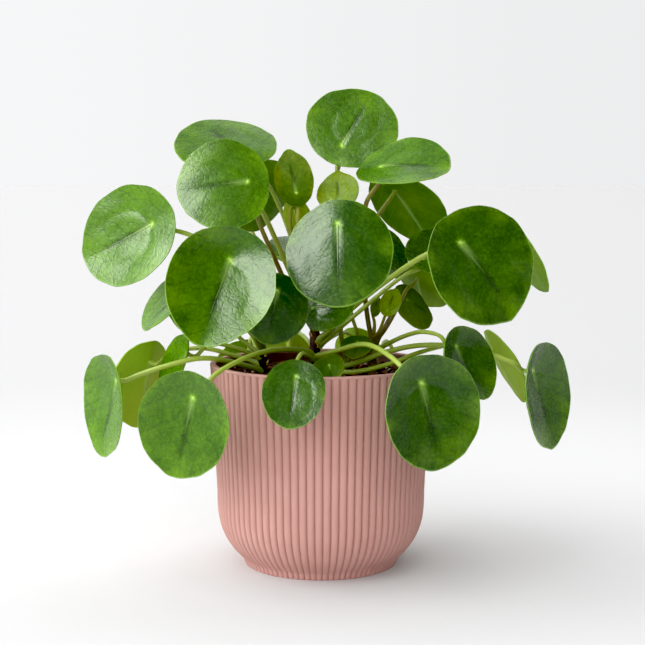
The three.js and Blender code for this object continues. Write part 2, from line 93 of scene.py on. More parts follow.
class Reading:
    """A value on a surface. Sums written on it add the nodes that work them out."""

    def __init__(self, finish, socket):
        self.finish = finish
        self.socket = socket

    def out(self, name):
        return Reading(self.finish, self.socket.node.outputs[name])

    def sum(self, operation, *terms):
        return self.finish.add("Math", {"operation": operation}, dict(enumerate(terms)))

    def __add__(self, other):
        return self.sum("ADD", self, other)

    def __sub__(self, other):
        return self.sum("SUBTRACT", self, other)

    def __rsub__(self, other):
        return self.sum("SUBTRACT", other, self)

    def __mul__(self, other):
        return self.sum("MULTIPLY", self, other)

    def __truediv__(self, other):
        return self.sum("DIVIDE", self, other)

    def __pow__(self, other):
        return self.sum("POWER", self, other)

    def __abs__(self):
        return self.sum("ABSOLUTE", self)

    __radd__ = __add__
    __rmul__ = __mul__

    def most(self, other):
        return self.sum("MAXIMUM", self, other)

    def least(self, other):
        return self.sum("MINIMUM", self, other)

    def fade(self, start, end):
        """0 where the value is at `start` and 1 at `end`, easing in between."""
        low, high = min(start, end), max(start, end)
        eased = self.finish.add("MapRange", {"interpolation_type": "SMOOTHSTEP"},
                                {"Value": self, "From Min": low, "From Max": high})
        return eased if start < end else 1 - eased


class Finish:
    """A node tree being filled in, of a material or of the room's light."""

    def __init__(self, holder):
        holder.use_nodes = True
        self.tree = holder.node_tree
        self.tree.nodes.clear()

    def add(self, kind, settings=None, sockets=None, out=0):
        node = self.tree.nodes.new("ShaderNode" + kind)
        for name, value in (settings or {}).items():
            setattr(node, name, value)
        for name, value in (sockets or {}).items():
            if isinstance(value, Reading):
                self.tree.links.new(value.socket, node.inputs[name])
            else:
                node.inputs[name].default_value = value
        return Reading(self, node.outputs[out] if node.outputs else None)

    def mix(self, share, first, second):
        """Two colours blended, `share` of the second."""
        return self.add("Mix", {"data_type": "RGBA"}, {0: share, 6: first, 7: second}, 2)

    def place(self):
        return self.add("TexCoord", out="Object")

    def mark(self, word):
        """A number stored on the mesh's points."""
        return self.add("Attribute", {"attribute_name": word}, out="Fac")

    def noise(self, place, scale, detail=2.0, rough=0.5):
        return self.add("TexNoise", {}, {"Vector": place, "Scale": scale, "Detail": detail,
                                         "Roughness": rough})

    def stretch(self, place, factors):
        return self.add("VectorMath", {"operation": "MULTIPLY"}, {0: place, 1: factors})

    def split(self, place):
        parts = self.add("SeparateXYZ", {}, {0: place})
        return parts.out("X"), parts.out("Y"), parts.out("Z")

    def raised(self, height):
        """A normal for `height`, which is given in millimetres."""
        return self.add("Bump", {}, {"Height": height, "Strength": 1, "Distance": mm})

    def surface(self, sockets):
        shader = self.add("BsdfPrincipled", {}, sockets)
        self.add("OutputMaterial", {}, {"Surface": shader})


def new_finish(name):
    material = bpy.data.materials.new(name)
    return material, Finish(material)


# The room is dim in front, so that the leaves that look forward stay deep, and bright
# behind and to the left. What mirrors in the leaves is dimmer still, most of all from
# above, and the camera sees the room in the tone of the far floor, painted darker to the right as shade.
room_front = 0.19
room_back = 1.6
room_left = 0.9
mirrored_less = 0.5
mirrored_less_above = 0.35
far_left = (0.926, 0.929, 0.938, 1)
far_right = (0.845, 0.848, 0.856, 1)

world = bpy.data.worlds.new("room")
scene.world = world
room = Finish(world)
across, back, up = room.split(room.add("TexCoord", out="Generated"))
around = (back.fade(-0.05, 0.45) * room_back + across.fade(0, -0.8) * room_left) * up.fade(0, 0.5)
is_glossy = room.add("LightPath", out="Is Glossy Ray")
mirrored_share = 1 - is_glossy * (mirrored_less + up.fade(0.5, 1) * mirrored_less_above)
brightness = room_front + around * mirrored_share
# painted shade: the room the camera sees is darker to the right
far_tone = room.mix(across.fade(-0.25, 0.25), far_left, far_right)
seen = room.add("Background", {}, {"Color": far_tone, "Strength": 1})
unseen = room.add("Background", {}, {"Color": (1, 1, 1, 1), "Strength": brightness})
is_camera = room.add("LightPath", out="Is Camera Ray")
room.add("OutputWorld", {}, {"Surface": room.add("MixShader", {}, {0: is_camera, 1: unseen, 2: seen})})

floor_size = 60
floor_painted_light_near = (0.588, 0.588, 0.593, 1)
floor_far = (0.521, 0.521, 0.527, 1)
floor_painted_shade_right = (0.3, 0.3, 0.303, 1)
shade_start = 1.2   # the floor is painted darker to the right, as shade, in a wedge from this far in front
bpy.ops.object.select_all(action="DESELECT")
bpy.ops.mesh.primitive_grid_add(x_subdivisions=12, y_subdivisions=12, size=floor_size)
floor = bpy.context.object
floor.name = "floor"
material, finish = new_finish("pale floor")
across, along, _ = finish.split(finish.place())
# painted light: lighter near the plant, where it shades the floor, fading to the far tone
far_out = ((across * across + along * along) ** 0.5).fade(0.25, 0.9)
clouding = finish.noise(finish.place(), 1.5, 1) * 0.01
pale = finish.mix(far_out + clouding, floor_painted_light_near, floor_far)
# painted shade: darker to the right, away from the lights on the left
painted_shade_to_right = (across / (along + shade_start).most(0.3)).fade(-0.25, 0.25)
finish.surface({
    "Base Color": finish.mix(painted_shade_to_right * (far_out * 0.1 + 0.1), pale, floor_painted_shade_right),
    "Roughness": 0.9,
    "Specular IOR Level": 0.1,
})
floor.data.materials.append(material)


# ---------------------------------------------------------------- the pot
# One moulded piece in matt pinkish terracotta, with upright ribs from the narrow
# foot to a thin plain lip. The ribbed outline is shaped once on its foot ring and
# drawn up the wall row by row, then over the lip and down the smooth inside.

pot_height = 128
rim_radius = 70
shoulder_radius = 66
shoulder_height = 46
belly_inset = 15.5
foot_height = 4.8
foot_taper = 0.4
foot_edge = 48.2
lip_height = 1.2
lip_start = pot_height - lip_height
pot_wall = 3.6
pot_floor = 6
rib_count = 85
first_groove = math.radians(1.2)
steps_per_rib = 8
groove_depths = {0: 1.3, 1: 0.5, 2: 0.14, 3: 0.03}


def pot_radius(height):
    """Outer radius over the ribs. The foot narrows a little towards its bottom."""
    if height < foot_height:
        return shoulder_radius - belly_inset - foot_taper * (foot_height - height)
    if height < shoulder_height:
        below = (shoulder_height - height) / (shoulder_height - foot_height)
        return shoulder_radius - belly_inset * below ** 3
    above = (height - shoulder_height) / (pot_height - shoulder_height)
    return shoulder_radius + (rim_radius - shoulder_radius) * above


def pick(piece, chosen):
    """Selects the vertices of the piece in edit mode for whose place `chosen` is true."""
    shape = bmesh.from_edit_mesh(piece.data)
    for vertex in shape.verts:
        vertex.select = bool(chosen(vertex.co))
    shape.select_flush(True)
    shape.select_flush(False)
    bmesh.update_edit_mesh(piece.data)


def start_ring(name, count, radius, height, axis=(0, 0), turned=0.0):
    """A ring of edges round an upright axis, open for shaping. Sizes in millimetres."""
    bpy.ops.object.select_all(action="DESELECT")
    bpy.ops.mesh.primitive_circle_add(
        vertices=count, radius=radius * mm, location=(0, 0, 0), rotation=(0, 0, turned))
    ring = bpy.context.object
    ring.name = name
    bpy.ops.object.transform_apply(location=True, rotation=True, scale=True)
    bpy.ops.object.mode_set(mode="EDIT")
    bpy.ops.mesh.select_all(action="SELECT")
    bpy.ops.transform.translate(value=(axis[0] * mm, axis[1] * mm, height * mm))
    return ring


def draw_up(start, rows, axis=(0, 0)):
    """Extrudes the selected ring from row to row. A row is (radius, height) in millimetres."""
    radius, height = start
    for next_radius, next_height in rows:
        bpy.ops.mesh.extrude_region_move(
            TRANSFORM_OT_translate={"value": (0, 0, (next_height - height) * mm)})
        share = next_radius / radius
        bpy.ops.transform.resize(
            value=(share, share, 1), center_override=(axis[0] * mm, axis[1] * mm, next_height * mm))
        radius, height = next_radius, next_height


def close_ring():
    """Draws the selected ring together into one point."""
    bpy.ops.mesh.extrude_region_move(TRANSFORM_OT_translate={"value": (0, 0, 0)})
    bpy.ops.mesh.merge(type="CENTER")


def choose(*pieces):
    """Selects these pieces alone and makes the first the active one."""
    bpy.ops.object.select_all(action="DESELECT")
    for piece in pieces:
        piece.select_set(True)
    bpy.context.view_layer.objects.active = pieces[0]


def finish_shape(piece, smooth):
    """Points every face outwards, leaves edit mode and smooths edges under `smooth` degrees."""
    bpy.ops.mesh.select_all(action="SELECT")
    bpy.ops.mesh.remove_doubles(threshold=1e-7)
    bpy.ops.mesh.normals_make_consistent(inside=False)
    bpy.ops.object.mode_set(mode="OBJECT")
    choose(piece)
    bpy.ops.object.shade_smooth_by_angle(angle=math.radians(smooth))


def groove_step(place):
    """Steps round from the nearest groove, 0 in its bottom and half a rib's steps on the crest."""
    turn = (math.atan2(place.x, -place.y) - first_groove) / (2 * math.pi) * rib_count
    step = round((turn % 1) * steps_per_rib) % steps_per_rib
    return min(step, steps_per_rib - step)


foot_rows = [(pot_radius(h), h) for h in (0.3, 0.8, 1.6, 2.6, 3.5, 4.2)]
neck_row = (pot_radius(4.9) + 0.1, 4.9)
belly_rows = [(pot_radius(h), h) for h in (6, 7, 8.2, 9.5, 11, 12.8, 14.8, 17, 19.5, 22, 25, 28, 31,
                                           34.5, 38, 42, 46)]
wall_rows = [(pot_radius(h), h) for h in (52, 60, 70, 80, 90, 100, 108, 114, 119, 123, 126)]
pot = start_ring("pot_body", rib_count * steps_per_rib, foot_edge, 0, turned=first_groove)
for step, depth in groove_depths.items():
    pick(pot, lambda place: groove_step(place) == step)
    share = (rim_radius - depth) / rim_radius
    bpy.ops.transform.resize(value=(share, share, 1), center_override=(0, 0, 0))
bpy.ops.mesh.select_all(action="SELECT")
draw_up((foot_edge, 0), foot_rows + [neck_row] + belly_rows + wall_rows)

# the ribs run out under the lip, whose ring is plain
lip_foot = (rim_radius - 0.12, lip_start)
draw_up(wall_rows[-1], [lip_foot])
for step, depth in groove_depths.items():
    pick(pot, lambda place: groove_step(place) == step and place.z > (lip_start - 0.05) * mm)
    share = rim_radius / (rim_radius - depth)
    bpy.ops.transform.resize(value=(share, share, 1), center_override=(0, 0, 0))
pick(pot, lambda place: place.z > (lip_start - 0.05) * mm)
inside = rim_radius - pot_wall
lip_rows = [(rim_radius, pot_height - 1), (rim_radius, pot_height - 0.5),
            (rim_radius - 0.15, pot_height - 0.18), (rim_radius - 0.5, pot_height),
            (inside + 0.5, pot_height), (inside + 0.12, pot_height - 0.15), (inside, pot_height - 0.6)]
inner_rows = [(pot_radius(h) - pot_wall, h) for h in (126, 123.5, 121, 118, 110, 90, 66, 46, 30, 20, 13, 9)]
draw_up(lip_foot, lip_rows + inner_rows)
draw_up(inner_rows[-1], [(44.5, pot_floor), (30, pot_floor), (8, pot_floor)])
close_ring()

# the underside is turned in a little within the foot ring
pick(pot, lambda place: place.z < 0.05 * mm and place.xy.length > 45 * mm)
draw_up((foot_edge, 0), [(47, 0), (45.5, 0), (44.6, 0.7), (28, 0.8), (8, 0.8)])
close_ring()
finish_shape(pot, 62)


def mark(shape, word, values):
    """Stores a number for every point of a mesh, for its material to read."""
    marks = shape.attributes.new(word, "FLOAT", "POINT")
    marks.data.foreach_set("value", np.array(values, np.float32))


def in_groove(place):
    """How deep in a groove a point lies, from 0 to 1, for the painted shade down there."""
    height = place.z / mm
    sunk = pot_radius(height) - place.xy.length / mm
    outside = 0.1 < height < lip_start - 0.1 and 0 < sunk < 2
    return min(1, sunk / groove_depths[0]) if outside else 0


mark(pot.data, "groove", [in_groove(vertex.co) for vertex in pot.data.vertices])


def tint(red, green, blue):
    """A colour as seen on a screen, 0 to 255, in the linear values that a shader takes."""
    def line(value):
        value /= 255
        return value / 12.92 if value <= 0.04045 else ((value + 0.055) / 1.055) ** 2.4
    return (line(red), line(green), line(blue), 1)


clay_dark = (0.475, 0.254, 0.222, 1)
clay_light = (0.515, 0.282, 0.247, 1)
clay_fleck = (0.58, 0.35, 0.30, 1)
groove_painted_shade = (0.33, 0.135, 0.105, 1)
# dark brown, painted as shade on the inside wall
inner_wall_shade = tint(72, 46, 33)
inner_shade_top = 127.5

material, finish = new_finish("pinkish terracotta")
place = finish.place()
groove = finish.mark("groove")
dust = finish.noise(place, 26, 3, 0.6)
speck = finish.noise(place, 900, 2, 0.6)
clay = finish.mix(dust.fade(0.3, 0.7), clay_dark, clay_light)
clay = finish.mix(speck.fade(0.55, 0.75) * 0.25, clay, clay_fleck)
# painted shade: the clay is darker the deeper it lies in a groove
clay = finish.mix(groove * 0.55, clay, groove_painted_shade)

# inside, the wall is painted dark brown as shade up to just under the lip
across, along, up = finish.split(place)
from_axis = (across * across + along * along) ** 0.5
inner = from_axis.fade((inside + 0.5) * mm, (inside + 0.1) * mm) * up.fade(100 * mm, 110 * mm)
uneven = up + (dust - 0.5) * (6 * mm)
inner_shade = inner * uneven.fade(inner_shade_top * mm, (inner_shade_top - 2) * mm)
clay = finish.mix(inner_shade * 0.9, clay, inner_wall_shade)
grain = speck * 0.035 + finish.noise(place, 260, 2) * 0.05
finish.surface({
    "Base Color": clay,
    "Roughness": 0.62 + speck * 0.2,
    "Specular IOR Level": 0.35,
    "Normal": finish.raised(grain),
})
pot.data.materials.append(material)
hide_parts("pot")
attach(pot, "root")


# ---------------------------------------------------------------- the soil
# Moist dark potting mix, filled to just under the lip. The fill itself is one
# lumpy body; bark chips and a few pale grains lie half sunk in its top.

soil_level = 120
soil_gap = 0.4
soil_bottom = 9
chance = np.random.default_rng(7)

side_rows = [(pot_radius(h) - pot_wall - soil_gap, h) for h in (soil_bottom, 16, 25, 46, 80, 110, 117, 119)]
soil_edge = side_rows[-1][0]
top_rows = [(soil_edge - 1.2 - 2.4 * n, soil_level) for n in range(26)]
soil = start_ring("soil_fill", 96, *side_rows[0])
draw_up(side_rows[0], side_rows[1:] + top_rows)
close_ring()
pick(soil, lambda place: place.z < (soil_bottom + 0.1) * mm)
draw_up(side_rows[0], [(20, soil_bottom)])
close_ring()
finish_shape(soil, 50)
bpy.ops.object.mode_set(mode="EDIT")
pick(soil, lambda place: place.z > 118 * mm)
bpy.ops.mesh.subdivide(number_cuts=1)
bpy.ops.object.mode_set(mode="OBJECT")


def soil_top(x, y):
    """Height of the soil at a place, in millimetres."""
    lump = math.sin(0.31 * x + 1) * math.cos(0.27 * y) + 0.6 * math.sin(0.7 * x - 0.5 * y)
    fine = noise.noise(Vector((x / 6, y / 6, 3))) * 2.6 + noise.noise(Vector((x / 2.2, y / 2.2, 8))) * 1.1
    edge = min(1, max(0, (soil_edge - math.hypot(x, y)) / 5))
    return soil_level + (0.8 * lump + fine) * edge - 0.6 * (1 - edge)


for vertex in soil.data.vertices:
    if vertex.co.z > 118.5 * mm:
        vertex.co.z = soil_top(vertex.co.x / mm, vertex.co.y / mm) * mm

material, finish = new_finish("potting mix")
place = finish.place()
crumb = finish.noise(place, 420, 4, 0.65)
damp = finish.noise(place, 90, 3, 0.6)
fibre = finish.noise(finish.stretch(place, (1, 0.35, 1)), 700, 3, 0.6)
earth = finish.mix(damp.fade(0.35, 0.65), tint(38, 25, 18), tint(66, 43, 30))
earth = finish.mix(crumb.fade(0.5, 0.75), earth, tint(96, 63, 44))
earth = finish.mix(fibre.fade(0.62, 0.72) * 0.7, earth, tint(126, 86, 60))
finish.surface({
    "Base Color": earth,
    "Roughness": 0.95,
    "Specular IOR Level": 0.2,
    "Normal": finish.raised(crumb * 1.4 + fibre * 0.5),
})
soil.data.materials.append(material)
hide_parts("soil")
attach(soil, "root")


def rough_block(name, size, corner):
    """A block with worn corners, the start of every loose bit."""
    bpy.ops.object.select_all(action="DESELECT")
    bpy.ops.mesh.primitive_cube_add(size=1)
    block = bpy.context.object
    block.name = name
    bpy.ops.object.mode_set(mode="EDIT")
    bpy.ops.mesh.bevel(offset=corner, segments=1)
    bpy.ops.transform.vertex_random(offset=0.09, seed=4)
    bpy.ops.transform.resize(value=size)
    bpy.ops.mesh.normals_make_consistent(inside=False)
    bpy.ops.object.mode_set(mode="OBJECT")
    return block


def scatter(pattern, count, nearest, farthest, lowest, highest, sink, material):
    """Copies a loose bit over the soil, each turned and sized its own way, as one piece."""
    bits = []
    for _ in range(count):
        out = math.sqrt(chance.uniform(nearest ** 2, farthest ** 2))
        way = chance.uniform(0, 2 * math.pi)
        x, y = out * math.cos(way), out * math.sin(way)
        size = chance.uniform(lowest, highest)
        bit = pattern.copy()
        bit.data = pattern.data.copy()
        turn = Matrix.Rotation(chance.uniform(0, 2 * math.pi), 4, "Z")
        lean = (Matrix.Rotation(chance.normal(0, 0.35), 4, "X")
                @ Matrix.Rotation(chance.normal(0, 0.3), 4, "Y"))
        spot = Matrix.Translation(Vector((x, y, soil_top(x, y) + sink * size)) * mm)
        bit.data.transform(spot @ turn @ lean @ Matrix.Diagonal((size * mm, size * mm, size * mm, 1)))
        scene.collection.objects.link(bit)
        bits.append(bit)
    choose(*bits)
    bpy.ops.object.join()
    bits[0].data.materials.clear()
    bits[0].data.materials.append(material)
    return bits[0]


material, finish = new_finish("bark")
place = finish.place()
kind = finish.noise(place, 130, 1)
grain = finish.noise(finish.stretch(place, (1, 1, 0.3)), 1100, 3, 0.6)
bark = finish.mix(kind.fade(0.38, 0.62), tint(58, 34, 24), tint(142, 84, 58))
bark = finish.mix(grain.fade(0.45, 0.7) * 0.6, bark, tint(44, 26, 18))
finish.surface({
    "Base Color": bark,
    "Roughness": 0.8,
    "Specular IOR Level": 0.3,
    "Normal": finish.raised(grain * 0.5),
})
chip = rough_block("bark_pattern", (2.6, 1.5, 0.55), 0.16)
for name, count, lowest, highest in (("bark_chips", 150, 1.3, 2.5), ("bark_crumbs", 330, 0.5, 1.2)):
    chips = scatter(chip, count, nearest=6, farthest=64, lowest=lowest, highest=highest,
                    sink=0.1, material=material)
    chips.name = name
    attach(chips, "root")
bpy.data.objects.remove(chip)

material, finish = new_finish("perlite")
pore = finish.noise(finish.place(), 1500, 3, 0.7)
finish.surface({
    "Base Color": finish.mix(pore.fade(0.35, 0.65), tint(150, 138, 120), tint(214, 206, 190)),
    "Roughness": 0.85,
    "Normal": finish.raised(pore * 0.3),
})
grain_pattern = rough_block("perlite_pattern", (1, 0.9, 0.8), 0.25)
grains = scatter(grain_pattern, count=46, nearest=8, farthest=64, lowest=1.0, highest=2.1,
                 sink=0.15, material=material)
grains.name = "perlite_grains"
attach(grains, "root")
bpy.data.objects.remove(grain_pattern)


# ---------------------------------------------------------------- the stems
# One short woody stem with old leaf scars and papery stipules, and three younger
# offsets, all rooted in the soil. The stalks of the leaves grow out of them.

stems = {
    "main": dict(x=-4, y=0, bottom=84, top=187, girth=3.9, tip=2.6, scar_step=10, scar=0.5,
                 stipules=16, stipules_from=130),
    "left": dict(x=-37, y=1, bottom=94, top=141, girth=3.4, tip=2.4, scar_step=8, scar=0.3,
                 stipules=4, stipules_from=124),
    "middle": dict(x=18, y=2, bottom=100, top=132, girth=2.8, tip=2.0, scar_step=8, scar=0.2,
                   stipules=3, stipules_from=124),
    "right": dict(x=33, y=0, bottom=92, top=147, girth=3.4, tip=2.2, scar_step=8, scar=0.3,
                  stipules=5, stipules_from=124),
}
buried_to = 112      # below this a stem is in the soil and needs few rows
first_scar = 116


def stem_radius(stem, height):
    up = (height - stem["bottom"]) / (stem["top"] - stem["bottom"])
    return stem["girth"] + (stem["tip"] - stem["girth"]) * up


def stem_finish(name, dark, light, scar_tone):
    material, finish = new_finish(name)
    place = finish.place()
    ring = finish.noise(finish.stretch(place, (1, 1, 5)), 160, 3, 0.6)
    crack = finish.noise(finish.stretch(place, (1, 1, 0.3)), 700, 3, 0.65)
    patch = finish.noise(place, 110, 2)
    skin = finish.mix(ring.fade(0.35, 0.65), dark, light)
    skin = finish.mix(patch.fade(0.52, 0.66) * 0.8, skin, scar_tone)
    skin = finish.mix(crack.fade(0.52, 0.7) * 0.5, skin, dark)
    finish.surface({
        "Base Color": skin,
        "Roughness": 0.75,
        "Specular IOR Level": 0.3,
        "Normal": finish.raised(ring * 0.5 + crack * 0.45),
    })
    return material


woody = stem_finish("woody stem", tint(20, 12, 8), tint(48, 31, 21), tint(82, 50, 33))
fresh = stem_finish("offset stem", tint(70, 60, 22), tint(112, 104, 38), tint(126, 86, 46))

material, finish = new_finish("stipule")
dry = finish.noise(finish.stretch(finish.place(), (1, 1, 0.3)), 900, 2)
finish.surface({
    "Base Color": finish.mix(dry.fade(0.35, 0.65), tint(120, 84, 44), tint(196, 176, 118)),
    "Roughness": 0.7,
})
papery = material

for kind, node, finish_of_stem in (
        ("main", "main_stem", woody), ("left", "left_offset_stem", woody),
        ("middle", "middle_offset_stem", fresh), ("right", "right_offset_stem", fresh)):
    stem = stems[kind]
    axis = (stem["x"], stem["y"])
    bottom = stem["bottom"]
    first = (stem_radius(stem, bottom), bottom)
    body = start_ring(node + "_body", 24, *first, axis=axis)
    rows = []
    height = bottom + 3
    while height < stem["top"] - 3:
        swell = max(0, math.cos(2 * math.pi * (height - first_scar) / stem["scar_step"])) ** 3
        rows.append((stem_radius(stem, height) - 0.15 + stem["scar"] * 1.2 * swell, height))
        height += 1.1 if height > buried_to else 6
    tip = stem["tip"]
    rows += [(tip * 0.95, stem["top"] - 2.6), (tip * 0.8, stem["top"] - 1.5),
             (tip * 0.55, stem["top"] - 0.7), (tip * 0.25, stem["top"] - 0.2)]
    draw_up(first, rows, axis)
    close_ring()
    pick(body, lambda place: place.z < (bottom + 0.1) * mm)
    close_ring()
    finish_shape(body, 50)
    knots = bpy.data.textures.new(kind + " knots", "CLOUDS")
    knots.noise_scale = 2.2 * mm
    rough = body.modifiers.new("knots", "DISPLACE")
    rough.texture = knots
    rough.texture_coords = "LOCAL"
    rough.strength = (0.9 if finish_of_stem is woody else 0.35) * mm
    rough.mid_level = 0.5
    bpy.ops.object.modifier_apply(modifier="knots")
    body.data.materials.append(finish_of_stem)

    # papery stipules stand round the upper part, each a thin pointed scale
    scales = []
    lowest = stem["stipules_from"]
    for n in range(stem["stipules"]):
        height = lowest + (stem["top"] - 4 - lowest) * (n + 0.5) / stem["stipules"]
        way = 2.4 * n + 0.7
        long = chance.uniform(3.2, 5.2)
        bpy.ops.object.select_all(action="DESELECT")
        bpy.ops.mesh.primitive_cone_add(vertices=7, radius1=1.15 * mm, radius2=0.08 * mm, depth=long * mm)
        scale = bpy.context.object
        bpy.ops.object.mode_set(mode="EDIT")
        bpy.ops.mesh.select_all(action="SELECT")
        bpy.ops.mesh.subdivide(number_cuts=1, smoothness=0.5)
        bpy.ops.transform.resize(value=(1, 0.3, 1))
        bpy.ops.object.mode_set(mode="OBJECT")
        outwards = Vector((math.cos(way), math.sin(way), 0))
        spot = Vector((*axis, height)) + outwards * (stem_radius(stem, height) + 0.25)
        lean = Matrix.Rotation(-chance.uniform(0.2, 0.6), 4, "X")
        scale.data.transform(Matrix.Translation(spot * mm) @ Matrix.Rotation(way - math.pi / 2, 4, "Z")
                             @ lean @ Matrix.Translation((0, 0, long * 0.35 * mm)))
        scale.data.materials.append(papery)
        scales.append(scale)
    choose(body, *scales)
    bpy.ops.object.join()
    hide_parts(node)
    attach(body, "root")
